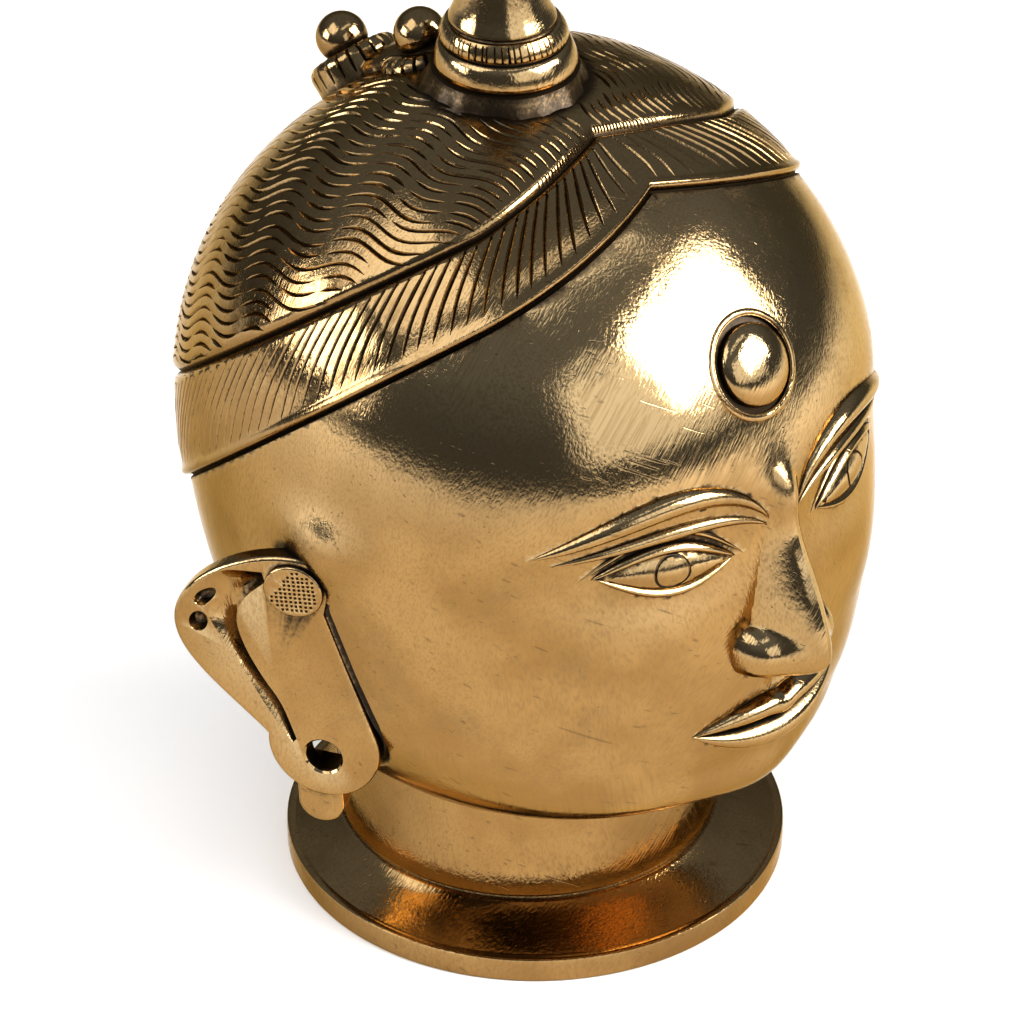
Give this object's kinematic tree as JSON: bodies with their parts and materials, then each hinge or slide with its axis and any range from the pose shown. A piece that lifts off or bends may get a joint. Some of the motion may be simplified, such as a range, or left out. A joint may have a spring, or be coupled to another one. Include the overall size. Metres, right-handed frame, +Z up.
{
  "type": "brass devotional head",
  "caption": "Cast brass devotional head on a flanged neck, with pierced earlobes, a forehead disc, a banded cap of waved hair, knobbed crown ornaments and a tapering finial.",
  "frame": {"origin": "Centre of the foot flange's flat underside, on the surface the head stands on.", "axes": "+Z points up, the face looks along -Y, and +X is towards the head's own left ear."},
  "size_m": [0.2176, 0.2087, 0.3098],
  "materials": {
    "brass": "hand-polished cast brass with dark patina in the grooves"
  },
  "bodies": {
    "root": {"brass_head": "brass"}
  },
  "joints": []
}
